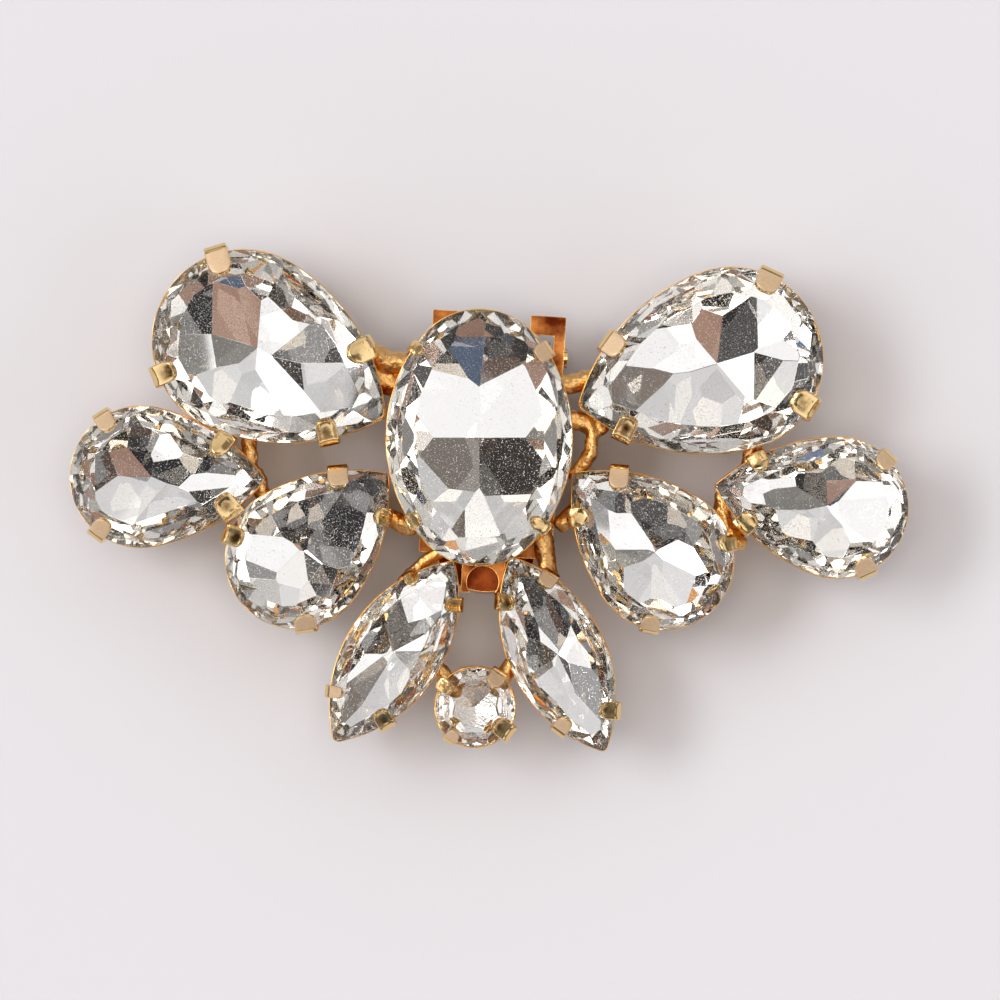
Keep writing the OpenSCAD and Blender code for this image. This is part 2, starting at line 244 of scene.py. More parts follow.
def polished_gilt(name, tone, hollow, smooth, dull):
    """Gold plated brass, tumbled bright: a warm mirror with soft smears about 1 mm wide and a faint
    orange peel of 0.2 mm, drawn coarser than real so that it shows. Where the attribute of the
    painted dark middle is set, the second colour is laid on in patches: a painted dark reflection
    in the middle of a polished claw top."""
    made, tree, out = blank_material(name)
    where = add(tree, "ShaderNodeTexCoord").outputs["Object"]
    smear = add(tree, "ShaderNodeTexNoise", {"Vector": where, "Scale": 900, "Detail": 3})
    peel = add(tree, "ShaderNodeTexNoise", {"Vector": where, "Scale": 4500, "Detail": 2})
    rough = add(tree, "ShaderNodeMapRange", {
        "Value": smear.outputs["Fac"], "To Min": smooth, "To Max": dull,
    })
    bump = add(tree, "ShaderNodeBump", {
        "Height": peel.outputs["Fac"], "Strength": 0.15, "Distance": 0.04 * MM,
    })
    dark_middle_mask = add(tree, "ShaderNodeAttribute", attribute_name="hollow")
    patchy = add(tree, "ShaderNodeMapRange", {
        "Value": smear.outputs["Fac"],
        "From Min": 0.35, "From Max": 0.65, "To Min": 0.3, "To Max": 1.3,
    })
    painted_dark = add(tree, "ShaderNodeMath", {
        0: dark_middle_mask.outputs["Fac"], 1: patchy.outputs["Result"],
    }, operation="MULTIPLY", use_clamp=True)
    tones = add(tree, "ShaderNodeMix", {"Factor": painted_dark.outputs[0]}, data_type="RGBA")
    tones.inputs["A"].default_value = srgb(tone)
    tones.inputs["B"].default_value = srgb(hollow)
    shader = add(tree, "ShaderNodeBsdfPrincipled", {
        "Base Color": tones.outputs["Result"],
        "Metallic": 1.0,
        "Roughness": rough.outputs["Result"],
        "Normal": bump.outputs["Normal"],
    })
    tree.links.new(shader.outputs[0], out.inputs[0])
    return made


CUP_GILT = polished_gilt("polished_gilt_cup", "#f5cc88", "#c98f4a", 0.06, 0.22)


def cup(stone):
    """A cup's wall, rounded at back and rim, with a flat back that is open in the middle."""
    cut = STONES[stone][0]
    shape = CUTS[cut]
    rim = BACK_Z + shape["girdle"] - GIRDLE_T / 2 - RIM_DROP
    section = [
        (0.0, BACK_Z + 0.16), (0.05, BACK_Z + 0.05), (0.16, BACK_Z),
        (shape["opening"] - 0.06, BACK_Z), (shape["opening"], BACK_Z + 0.06),
        (shape["opening"], BACK_Z + SHEET - 0.06), (shape["opening"] - 0.06, BACK_Z + SHEET),
        (SHEET + 0.12, BACK_Z + SHEET), (SHEET, BACK_Z + SHEET + 0.12),
        (SHEET, rim - 0.3), (0.3, rim - 0.03), (0.22, rim), (0.06, rim), (0.0, rim - 0.06),
    ]
    bm = bmesh.new()
    loft(bm, [[Vector((p.x, p.y, z)) for p in ring(cut, inset)] for inset, z in section], True)
    piece = finished("cup_" + stone[6:], bm, placing(stone))
    piece.data.materials.append(CUP_GILT)
    return piece


setting_parts = [cup(stone) for stone in STONES]

# Claws. Four strips rise from each cup's wall and are folded over the crown. Some tops were sanded
# after setting, so they are matt and pale; others are dished or rounded by the setting punch.
CLAW_W = 1.5
CLAW_T = 0.42
CLAW_REACH = 1.2
CLAW_EDGE = 0.1  # radius of its long edges
SANDED_TOP, DISHED_TOP, ROUND_TOP = 0, 1, 2
# Each top: how dark its middle is painted, a painted dark reflection of the polished top
TOP_PAINTED_DARK = {SANDED_TOP: 0, DISHED_TOP: 1, ROUND_TOP: 0.35}
# Each top: how square its end is, and how far its middle stands out or is pressed in
CLAW_TOPS = {SANDED_TOP: (2.8, 0.0), DISHED_TOP: (3.2, -0.13), ROUND_TOP: (2.0, 0.09)}
# Each cup's claws: direction from the centre, from the tip counter-clockwise, width, length and top
CLAWS = {
    "stone_oval": (
        (52, 1.3, 1.3, 0), (126, 0.9, 1.1, 2), (-129, 1.2, 1.1, 2), (-54, 1.0, 1.6, 2),
    ),
    "stone_upper_left": (
        (25, 1.8, 2.1, 2), (135, 1.7, 2.2, 0), (-130, 1.6, 1.8, 1), (-21, 1.5, 1.9, 1),
    ),
    "stone_upper_right": (
        (18, 1.5, 1.9, 1), (131, 1.8, 1.9, 1), (-132, 1.75, 1.8, 0), (-25, 1.75, 1.6, 0),
    ),
    "stone_outer_left": (
        (25, 1.4, 1.9, 2), (123, 1.3, 1.6, 0), (-126, 1.3, 1.6, 0), (-20, 1.6, 1.8, 1),
    ),
    "stone_outer_right": (
        (21, 1.5, 1.5, 2), (124, 1.5, 1.5, 0), (-125, 1.35, 1.3, 0), (-22, 1.5, 1.4, 2),
    ),
    "stone_lower_left": (
        (22, 1.5, 1.6, 0), (118, 1.4, 1.5, 1), (-124, 1.6, 1.3, 0), (-19, 1.3, 1.3, 2),
    ),
    "stone_lower_right": (
        (19, 1.4, 1.6, 2), (122, 1.4, 1.3, 0), (-122, 1.4, 1.3, 2), (-20, 1.4, 1.8, 0),
    ),
    "stone_navette_left": (
        (22, 1.1, 1.1, 2), (155, 0.9, 1.3, 0), (-152, 1.3, 1.5, 1), (-21, 1.1, 1.3, 1),
    ),
    "stone_navette_right": (
        (20, 1.3, 1.5, 1), (159, 1.3, 1.3, 0), (-158, 1.2, 1.4, 1), (-25, 1.2, 1.4, 0),
    ),
    "stone_round": (
        (55, 1.2, 1.3, 0), (145, 1.0, 1.2, 2), (-129, 0.9, 1.1, 0), (-37, 1.3, 1.6, 1),
    ),
}


def sanded_gilt():
    """Gold plate dulled by fine paper: pale, matt, with scratches of 0.3 mm that all run one way,
    drawn coarser than real so that they show."""
    made, tree, out = blank_material("sanded_gilt")
    where = add(tree, "ShaderNodeTexCoord").outputs["Object"]
    drawn = add(tree, "ShaderNodeMapping", {"Vector": where, "Scale": (1, 6, 1)})
    grit = add(tree, "ShaderNodeTexNoise", {"Vector": drawn.outputs[0], "Scale": 3500, "Detail": 4})
    tone = add(tree, "ShaderNodeMix", {"Factor": grit.outputs["Fac"]}, data_type="RGBA")
    tone.inputs["A"].default_value = srgb("#cfab85")
    tone.inputs["B"].default_value = srgb("#f2d9b6")
    bump = add(tree, "ShaderNodeBump", {
        "Height": grit.outputs["Fac"], "Strength": 0.5, "Distance": 0.03 * MM,
    })
    shader = add(tree, "ShaderNodeBsdfPrincipled", {
        "Base Color": tone.outputs["Result"],
        "Metallic": 0.85,
        "Roughness": 0.5,
        "Normal": bump.outputs["Normal"],
    })
    tree.links.new(shader.outputs[0], out.inputs[0])
    return made


# Its second colour is the painted dark reflection in the middles of dished and rounded tops
CLAW_GILT = polished_gilt("polished_gilt_claw", "#e8c78f", "#5a4024", 0.06, 0.2)
SANDED = sanded_gilt()


def claw_pattern(cut, top):
    """One claw at the origin: it stands on the wall at x 0 and is folded over towards -x."""
    girdle = BACK_Z + CUTS[cut]["girdle"] + GIRDLE_T / 2
    lean = CUTS[cut]["crown"] / FACETS[cut][0]
    stand, fold, over = 0.2, 0.15, girdle + 0.6
    path = [(-0.05, BACK_Z + 0.28), (0.1, BACK_Z + 0.8), (0.17, BACK_Z + 1.4), (stand, girdle)]
    bend = (Vector((stand, girdle)), Vector((stand, girdle + 0.45)), Vector((-fold, over)))
    for i in range(1, 7):
        t = i / 6
        spot = bend[0] * (1 - t) ** 2 + bend[1] * 2 * t * (1 - t) + bend[2] * t**2
        path.append((spot.x, spot.y))
    for i in range(1, 13):
        x = -fold - (CLAW_REACH - fold) * math.sin(i / 12 * math.pi / 2)
        path.append((x, over - lean * 0.9 * (x + fold)))
    power, bulge = CLAW_TOPS[top]
    bm = bmesh.new()
    rings = []
    for i, (x, z) in enumerate(path):
        run = (Vector(path[min(i + 1, len(path) - 1)]) - Vector(path[max(i - 1, 0)])).normalized()
        side = Vector((run.y, -run.x))
        left = min(1.0, (x + CLAW_REACH) / (0.5 * CLAW_W))
        share = max(0.0, 1 - (1 - left) ** power) ** (1 / power)
        half_w = max(0.5 * CLAW_W * share, 0.1)
        half_t = 0.5 * CLAW_T
        flat = max(half_w - CLAW_EDGE, 0)
        dome = bulge * share * min(1, max(0, (z - girdle) / 0.35))
        corners = []
        for sx, sy, first in ((1, 1, 0), (-1, 1, 1), (-1, -1, 2), (1, -1, 3)):
            for k in range(3):
                a = (first + k / 2) * math.pi / 2
                corners.append((
                    sx * flat + CLAW_EDGE * math.cos(a),
                    sy * (half_t - CLAW_EDGE) + CLAW_EDGE * math.sin(a),
                ))
            if first == 0:
                for t in (0.6, 0.2, -0.2, -0.6):
                    corners.append((t * flat, half_t + dome * (1 - t**2)))
        rings.append([
            Vector((x + side.x * out, across, z + side.y * out)) for across, out in corners
        ])
    loops = loft(bm, rings, False)
    for loop in (loops[0], loops[-1]):
        bm.faces.new(loop)
    bmesh.ops.recalc_face_normals(bm, faces=bm.faces)
    sanded = bm.faces.layers.bool.new("sanded")
    for face in bm.faces:
        flat_top = face.normal.z > 0.6 and face.calc_center_median().x < 0.02
        face[sanded] = top == SANDED_TOP and flat_top
        face.smooth = True
    mesh = bpy.data.meshes.new("claw")
    bm.to_mesh(mesh)
    bm.free()
    # A disc in the middle of a dished or rounded top is marked for the painted dark reflection
    hollow = mesh.attributes.new("hollow", "FLOAT", "POINT")
    for item, v in zip(hollow.data, mesh.vertices):
        across = v.co.y / (0.45 * CLAW_W)
        along = (v.co.x + 0.52 * CLAW_REACH) / (0.5 * CLAW_REACH)
        off = across**2 + along**2
        item.value = max(0, 1 - off) * TOP_PAINTED_DARK[top] * (v.co.z > girdle + 0.4)
    pattern = bpy.data.objects.new("claw_pattern", mesh)
    bpy.context.scene.collection.objects.link(pattern)
    return pattern


def claw_tree():
    """Geometry nodes that stand a claw on each point, as its attributes turn, size and shape it."""
    tree = bpy.data.node_groups.new("claws_on_cup", "GeometryNodeTree")
    for name, kind in (
        ("Feet", "NodeSocketGeometry"), ("Sanded Claw", "NodeSocketObject"),
        ("Dished Claw", "NodeSocketObject"), ("Round Claw", "NodeSocketObject"),
        ("Size Spread", "NodeSocketFloat"), ("Seed", "NodeSocketInt"),
        ("Gilt", "NodeSocketMaterial"), ("Sanded", "NodeSocketMaterial"),
    ):
        tree.interface.new_socket(name, in_out="INPUT", socket_type=kind)
    tree.interface.new_socket("Claws", in_out="OUTPUT", socket_type="NodeSocketGeometry")
    given = add(tree, "NodeGroupInput").outputs
    points = add(tree, "GeometryNodeMeshToPoints", {"Mesh": given["Feet"]}).outputs[0]
    facing = add(tree, "GeometryNodeInputNamedAttribute", {"Name": "facing"}, data_type="FLOAT")
    turn = add(tree, "ShaderNodeCombineXYZ", {"Z": facing.outputs["Attribute"]})
    size = add(tree, "GeometryNodeInputNamedAttribute", {"Name": "size"}, data_type="FLOAT_VECTOR")
    least = add(tree, "ShaderNodeMath", {0: 1.0, 1: given["Size Spread"]}, operation="SUBTRACT")
    most = add(tree, "ShaderNodeMath", {0: 1.0, 1: given["Size Spread"]}, operation="ADD")
    vary = add(tree, "FunctionNodeRandomValue", {"Seed": given["Seed"]}, data_type="FLOAT")
    tree.links.new(least.outputs[0], vary.inputs[2])
    tree.links.new(most.outputs[0], vary.inputs[3])
    wide = add(tree, "ShaderNodeCombineXYZ", {"X": 1.0, "Y": vary.outputs[1], "Z": 1.0})
    sized = add(tree, "ShaderNodeVectorMath", {
        0: size.outputs["Attribute"], 1: wide.outputs[0],
    }, operation="MULTIPLY")
    top = add(tree, "GeometryNodeInputNamedAttribute", {"Name": "top"}, data_type="INT")
    whole = add(tree, "GeometryNodeJoinGeometry")
    for kind, name in enumerate(("Sanded Claw", "Dished Claw", "Round Claw")):
        claw = add(tree, "GeometryNodeObjectInfo", {"Object": given[name], "As Instance": True})
        same = add(tree, "FunctionNodeCompare", data_type="INT", operation="EQUAL")
        tree.links.new(top.outputs["Attribute"], same.inputs[2])
        same.inputs[3].default_value = kind
        stand = add(tree, "GeometryNodeInstanceOnPoints", {
            "Points": points,
            "Selection": same.outputs[0],
            "Instance": claw.outputs["Geometry"],
            "Rotation": turn.outputs[0],
            "Scale": sized.outputs[0],
        })
        tree.links.new(stand.outputs[0], whole.inputs[0])
    real = add(tree, "GeometryNodeRealizeInstances", {"Geometry": whole.outputs[0]})
    gilt = add(tree, "GeometryNodeSetMaterial", {
        "Geometry": real.outputs[0], "Material": given["Gilt"],
    })
    matt = add(tree, "GeometryNodeInputNamedAttribute", {"Name": "sanded"}, data_type="BOOLEAN")
    sanded = add(tree, "GeometryNodeSetMaterial", {
        "Geometry": gilt.outputs[0],
        "Selection": matt.outputs["Attribute"],
        "Material": given["Sanded"],
    })
    out = add(tree, "NodeGroupOutput")
    tree.links.new(sanded.outputs[0], out.inputs[0])
    return tree


CLAW_TREE = claw_tree()


def set_inputs(modifier, values):
    """Sets a geometry nodes modifier's inputs by their names, through their identifiers."""
    for item in modifier.node_group.interface.items_tree:
        if item.item_type == "SOCKET" and item.in_out == "INPUT" and item.name in values:
            modifier[item.identifier] = values[item.name]


def as_mesh(piece):
    """The evaluated piece as a plain mesh object of the same name; the piece itself goes."""
    bpy.context.view_layer.update()
    seen = piece.evaluated_get(bpy.context.evaluated_depsgraph_get())
    mesh = bpy.data.meshes.new_from_object(seen)
    name = piece.name
    bpy.data.objects.remove(piece)
    plain = bpy.data.objects.new(name, mesh)
    bpy.context.scene.collection.objects.link(plain)
    return plain


def cup_claws(stone, seed):
    """The four claws of one cup, as its row gives them."""
    cut = STONES[stone][0]
    patterns = [claw_pattern(cut, top) for top in (SANDED_TOP, DISHED_TOP, ROUND_TOP)]
    feet = [(*outline_hit(cut, row[0]), *row[1:]) for row in CLAWS[stone]]
    mesh = bpy.data.meshes.new("claws_" + stone[6:])
    mesh.from_pydata([(point.x, point.y, 0) for point, *_ in feet], [], [])
    for name, kind, column in (("facing", "FLOAT", 1), ("top", "INT", 4)):
        values = mesh.attributes.new(name, kind, "POINT").data
        values.foreach_set("value", [row[column] for row in feet])
    size = mesh.attributes.new("size", "FLOAT_VECTOR", "POINT")
    for item, (_, _, width, length, _) in zip(size.data, feet):
        item.vector = (length / (CLAW_REACH + CLAW_T), width / CLAW_W, 1)
    piece = bpy.data.objects.new(mesh.name, mesh)
    bpy.context.scene.collection.objects.link(piece)
    nodes = piece.modifiers.new("claws", "NODES")
    nodes.node_group = CLAW_TREE
    set_inputs(nodes, {
        "Sanded Claw": patterns[SANDED_TOP],
        "Dished Claw": patterns[DISHED_TOP],
        "Round Claw": patterns[ROUND_TOP],
        "Size Spread": 0.04,
        "Seed": seed,
        "Gilt": CLAW_GILT,
        "Sanded": SANDED,
    })
    plain = as_mesh(piece)
    for pattern in patterns:
        bpy.data.objects.remove(pattern)
    plain.data.transform(placing(stone))
    return plain


setting_parts += [cup_claws(stone, seed) for seed, stone in enumerate(STONES)]

# Solder. Hard solder was run between neighbouring cups, where it froze in uneven strings and webs
# before the whole setting was plated.
SOLDER = [
    [(-8.9, 10.9, 2.6, 0.7), (-7.4, 9.9, 2.4, 0.9), (-5.6, 9.9, 2.6, 0.7)],
    [(-8.2, 8.9, 2, 0.9), (-6.9, 8.3, 2, 0.9)],
    [(7.9, 9.1, 2.2, 0.6), (6.2, 8.4, 2.4, 0.7), (5.2, 8.3, 2.4, 0.7)],
    [(7.9, 5.2, 2.2, 0.6), (5.8, 5.8, 2.2, 0.7)],
    [(7.3, 5.2, 2.4, 0.5), (7.2, 3.4, 2.4, 0.55), (6, 1.8, 2.2, 0.5)],
    [(-8, -0.9, 2, 0.7), (-5.9, -1.9, 2, 0.7)],
    [(6.6, -0.2, 2, 0.6), (5.2, -1.6, 2, 0.7)],
    [(-17.3, 4.8, 2, 0.6), (-17.2, 2.6, 2, 0.6)],
    [(-16.8, 1.7, 2, 0.7), (-16.1, 0, 2, 0.6)],
    [(18.9, 4.3, 2, 0.7), (18.5, 2.6, 2, 0.6)],
    [(16.6, 0.2, 2, 0.6), (16.6, -1.5, 2, 0.7), (17.7, -3, 2, 0.7)],
    [(3.7, -2.6, 2, 0.8), (4.3, -5.9, 2, 0.6)],
    [(-3.2, -3.4, 2, 0.5), (-4.7, -4.3, 2, 0.45), (-6.3, -5.8, 2, 0.45)],
    [(-3.6, -12.2, 2, 0.6), (-2.6, -13.6, 2, 0.6)],
    [(1.5, -11.8, 2, 0.6), (0.5, -13.2, 2, 0.6)],
]
SOLDER_GRAIN = 0.14  # the melted skin's mesh size
# The skin's waves: how many to a millimetre, and how high
SOLDER_WAVES = ((1.6, 0.14), (4.5, 0.06))


def run_solder():
    """Gold plated solder: a rougher, deeper gold, its frozen skin wrinkled every 0.25 mm or so."""
    made, tree, out = blank_material("plated_solder")
    where = add(tree, "ShaderNodeTexCoord").outputs["Object"]
    wrinkle = add(tree, "ShaderNodeTexNoise", {"Vector": where, "Scale": 4000, "Detail": 4})
    rough = add(tree, "ShaderNodeMapRange", {
        "Value": wrinkle.outputs["Fac"], "To Min": 0.15, "To Max": 0.45,
    })
    bump = add(tree, "ShaderNodeBump", {
        "Height": wrinkle.outputs["Fac"], "Strength": 0.8, "Distance": 0.1 * MM,
    })
    shader = add(tree, "ShaderNodeBsdfPrincipled", {
        "Base Color": srgb("#d3a86c"),
        "Metallic": 1.0,
        "Roughness": rough.outputs["Result"],
        "Normal": bump.outputs["Normal"],
    })
    tree.links.new(shader.outputs[0], out.inputs[0])
    return made


def solder_runs():
    """All runs as one skin: beads joined in chains, melted together, then wrinkled."""
    bead = bmesh.new()
    bmesh.ops.create_icosphere(bead, subdivisions=2, radius=1)
    skin = [v.co.copy() for v in bead.verts]
    bead.free()
    bm = bmesh.new()
    for beads in SOLDER:
        for ends in zip(beads, beads[1:]):
            verts = []
            for x, y, z, radius in ends:
                middle = Vector((x + SPRAY_SHIFT[0], y + SPRAY_SHIFT[1], BACK_Z + z))
                verts += [bm.verts.new(middle + p * radius) for p in skin]
            hull = bmesh.ops.convex_hull(bm, input=verts)
            inner = [v for v in hull["geom_interior"] if isinstance(v, bmesh.types.BMVert)]
            bmesh.ops.delete(bm, geom=inner, context="VERTS")
    piece = finished("solder", bm)
    melt = piece.modifiers.new("melt", "REMESH")
    melt.mode = "VOXEL"
    melt.voxel_size = SOLDER_GRAIN
    soften = piece.modifiers.new("soften", "SMOOTH")
    soften.iterations = 3
    plain = as_mesh(piece)
    for v in plain.data.vertices:
        v.co += v.normal * sum(noise.noise(v.co * often) * high for often, high in SOLDER_WAVES)
    plain.data.transform(Matrix.Scale(MM, 4))
    plain.data.materials.append(run_solder())
    plain.data.polygons.foreach_set("use_smooth", [True] * len(plain.data.polygons))
    return plain


setting_parts.append(solder_runs())


def joined(parts, name):
    """The parts as one object."""
    with bpy.context.temp_override(
        active_object=parts[0], object=parts[0],
        selected_editable_objects=parts, selected_objects=parts,
    ):
        bpy.ops.object.join()
    parts[0].name = parts[0].data.name = name
    return parts[0]


setting = joined(setting_parts, "soldered_setting")
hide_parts("setting_frame")
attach(setting, "buckle")

# Stones. Pressed and polished clear glass with a table, crown facets, a thin girdle and a pointed
# pavilion. The pavilion is silvered, so that light that enters from above is thrown back up.
# How high each main facet's edge ends, as a share of its cut's own height: no two stones are alike.
# Most of these numbers were found by a scratch program that searched for the photo's tones
KNEES = {
    "stone_oval": (1, 0.98, 0.98, 1),
    "stone_upper_left": (1.3, 1.28, 1.04, 0.91, 0.85, 0.9),
    "stone_upper_right": (0.97, 1.02, 1.14, 0.91, 1.12, 1.05),
    "stone_outer_left": (1.14, 0.78, 0.7, 0.74, 0.82, 0.95, 0.45),
    "stone_outer_right": (0.84, 0.94, 0.92, 0.81, 1.06, 0.91, 0.73),
    "stone_lower_left": (0.94, 0.6, 0.53, 0.97, 0.55, 0.55, 0.62),
    "stone_lower_right": (0.99, 0.86, 0.95, 0.82, 0.9, 0.62, 1.05),
    "stone_navette_left": (1.43, 0.88, 0.85, 0.44, 0.77, 1.09, 1.59, 1.06, 0.82, 0.9, 0.92, 1.02),
    "stone_navette_right": (1.14, 0.71, 0.83, 0.87, 0.87, 0.96, 0.84, 1.19, 0.55, 0.72, 0.67, 0.83),
    "stone_round": (0.66, 0.66, 0.82, 0.82, 0.75, 0.72, 0.65, 0.72),
}
# Single facets beyond the main ones, where the cutter touched the back once more: a point on each,
# right and up from the culet, the way it falls away, round the compass, and its slope in degrees.
# All but the oval's were found by that same search
TOUCHES = {
    "stone_oval": (
        (-0.1, 3.7, 112, 19.9), (-2.2, 4.55, 130, 19.7), (1, 4.2, 56, 19.7),
        (-3.25, -2.48, 217, 19.1), (-0.6, -3.85, 222, 19.1), (0.9, -4.15, 318, 19.2),
        (-0.9, -4.6, 262, 20.2),
    ),
    "stone_upper_left": (
        (-0.84, 2.09, 124, 15.9), (1.87, -0.61, 348, 16.5), (2.95, 1.04, 17, 18.8),
        (-3.27, -1.45, 234, 18), (-3.07, -0.23, 187, 15.5), (3.78, -3.57, 350, 18.3),
        (-4.33, 0.85, 139, 20), (0.99, -3.28, 262, 18.2), (-1.36, 4.24, 109, 20.4),
    ),
    "stone_upper_right": (
        (-3.61, 0.4, 138, 18.3), (-4.4, -0.85, 235, 17.5), (3.28, 0.46, 5, 18.2),
        (2.62, -0.32, 333, 17.5), (-1.85, -1.79, 237, 16.7), (-4.99, -0.28, 207, 17.7),
        (3.39, -0.69, 332, 19.9), (1.27, -2.16, 272, 18.2), (2.85, 2.89, 46, 19.6),
    ),
    "stone_outer_left": (
        (-1.49, 2, 84, 19.2), (3.32, -0.36, 36, 18.9), (-0.84, -2.29, 227, 16.6),
        (-2.5, 0.46, 179, 20.2), (3.54, 0.8, 20, 15.9), (3.6, -0.48, 336, 17.7),
        (0.36, -1.27, 281, 18.3), (2.56, 0.52, 42, 18.6), (0.71, 1.14, 59, 18.3),
    ),
    "stone_outer_right": (
        (0.7, -0.98, 268, 18), (1.3, 1.88, 70, 19.6), (-2.36, -0.3, 236, 18),
        (-4.78, 0.79, 145, 18), (1.09, -1.08, 355, 18.4), (-4.52, 0.48, 186, 17.7),
        (1.94, -1.17, 307, 16.4), (-2.27, 1.72, 133, 16.7), (1.9, 1.6, 10, 18.2),
    ),
    "stone_lower_left": (
        (0.08, 0.69, 100, 19.2), (0.53, 1.58, 24, 18.9), (-0.11, -2.61, 271, 17.7),
        (-1.93, -1.71, 202, 19.1), (-1.34, -0.95, 187, 15.9), (-2.53, 0.19, 137, 19.4),
        (1.92, 1.2, 85, 18.8), (-1.14, -2.47, 237, 18.7), (0.71, -1.76, 314, 16.3),
    ),
    "stone_lower_right": (
        (-3, 2.82, 117, 18.8), (-3.14, 2.88, 165, 18), (2.29, 0.57, 37, 19.6),
        (-0.78, -0.72, 239, 18.3), (1.16, -2.44, 272, 17.2), (-0.83, 1.45, 76, 19),
        (1.52, -1, 297, 15.3), (-1.83, 1.66, 160, 14.7), (0.56, -1.86, 259, 16.3),
    ),
    "stone_navette_left": (
        (2.14, 1.39, 53, 15.7), (0.88, 2.38, 66, 18.2), (-0.8, -2.94, 220, 17.3),
        (0.64, -0.9, 280, 18.9), (-0.3, 0.6, 152, 19.3), (1.69, 1.2, 54, 15.1),
        (-3.04, -2.85, 253, 19.2), (-1.2, -1.3, 198, 18.2), (-2.17, -2.45, 268, 18.8),
    ),
    "stone_navette_right": (
        (0.8, -3.38, 294, 15.9), (-1.38, 2.04, 133, 19.7), (1.08, -2.15, 339, 16.7),
        (0.73, 0, 14, 18.5), (-1.64, -1.2, 213, 17.2), (0.53, -2.48, 234, 17.9),
        (0.54, 1.36, 48, 18.4), (1.28, -2.95, 286, 17), (-1.15, 1.72, 99, 18.7),
    ),
}
# The foil behind the round stone's middle has crazed, out to this radius
CRAZED_R = 1.6
# The pavilion from the culet to the girdle: share of the way out, share of the height, row by row
PAVILION = ((0.5, 0.23), (0.8, 0.5))
CRYSTAL_IOR = 1.56


def clear_crystal():
    """Polished crystal glass: colourless, with sharp reflections and a high refractive index."""
    made, tree, out = blank_material("clear_crystal")
    shader = add(tree, "ShaderNodeBsdfPrincipled", {
        "Base Color": srgb("#fdfdff"),
        "Roughness": 0.0,
        "IOR": CRYSTAL_IOR,
        "Transmission Weight": 1.0,
    })
    tree.links.new(shader.outputs[0], out.inputs[0])
    return made


def silver_foil(name, crazed=0.0):
    """Chemically silvered glass: a mirror, speckled every 0.1 mm where dust and pinholes scatter
    the light. A crazed one has puckered under its lacquer, so that its facets look frosty."""
    made, tree, out = blank_material(name)
    where = add(tree, "ShaderNodeTexCoord").outputs["Object"]
    dust = add(tree, "ShaderNodeTexNoise", {"Vector": where, "Scale": 11000, "Detail": 1})
    specks = add(tree, "ShaderNodeMapRange", {
        "Value": dust.outputs["Fac"],
        "From Min": 0.63, "From Max": 0.7, "To Min": 0.015, "To Max": 0.3,
    })
    shader = add(tree, "ShaderNodeBsdfPrincipled", {
        "Base Color": srgb("#e9e7e3"),
        "Metallic": 1.0,
        "Roughness": specks.outputs["Result"],
    })
    if crazed:
        pucker = add(tree, "ShaderNodeTexNoise", {"Vector": where, "Scale": 5200, "Detail": 4})
        bump = add(tree, "ShaderNodeBump", {
            "Height": pucker.outputs["Fac"], "Strength": crazed, "Distance": 0.09 * MM,
        })
        tree.links.new(bump.outputs["Normal"], shader.inputs["Normal"])
    tree.links.new(shader.outputs[0], out.inputs[0])
    return made


def gold_lacquer():
    """Bronze-gold lacquer sprayed over the silvering: satin with a fine spray grain of 0.3 mm, and
    warm where the back is seen."""
    made, tree, out = blank_material("gold_lacquer")
    where = add(tree, "ShaderNodeTexCoord").outputs["Object"]
    spray = add(tree, "ShaderNodeTexNoise", {"Vector": where, "Scale": 3000, "Detail": 3})
    rough = add(tree, "ShaderNodeMapRange", {
        "Value": spray.outputs["Fac"], "To Min": 0.3, "To Max": 0.5,
    })
    shader = add(tree, "ShaderNodeBsdfPrincipled", {
        "Base Color": srgb("#f5b95c"),
        "Metallic": 0.9,
        "Roughness": rough.outputs["Result"],
    })
    tree.links.new(shader.outputs[0], out.inputs[0])
    return made


FOIL_SLOT, LACQUER_SLOT, CRAZED_SLOT = 1, 2, 3
COAT_GAP, COAT_T = 0.015, 0.035
FACET_EDGE = 0.03  # width of the polished bevel between two facets
CRYSTAL = clear_crystal()
LACQUER = gold_lacquer()
FOIL = silver_foil("silver_foil")
CRAZED_FOIL = silver_foil("crazed_foil", 0.5)


def facing(cut, degrees, share, inset, z, drop):
    """A plane that slopes down outwards as the outline runs there, by drop over the full radius."""
    culet = CUTS[cut]["culet"]
    edge, way = outline_hit(cut, degrees, culet, inset)
    out = Vector((math.cos(way), math.sin(way)))
    run = out.dot(edge - Vector((culet, 0)))
    at = Vector((culet + share * (edge.x - culet), share * edge.y, z))
    return at, Vector((out.x * drop, out.y * drop, run))


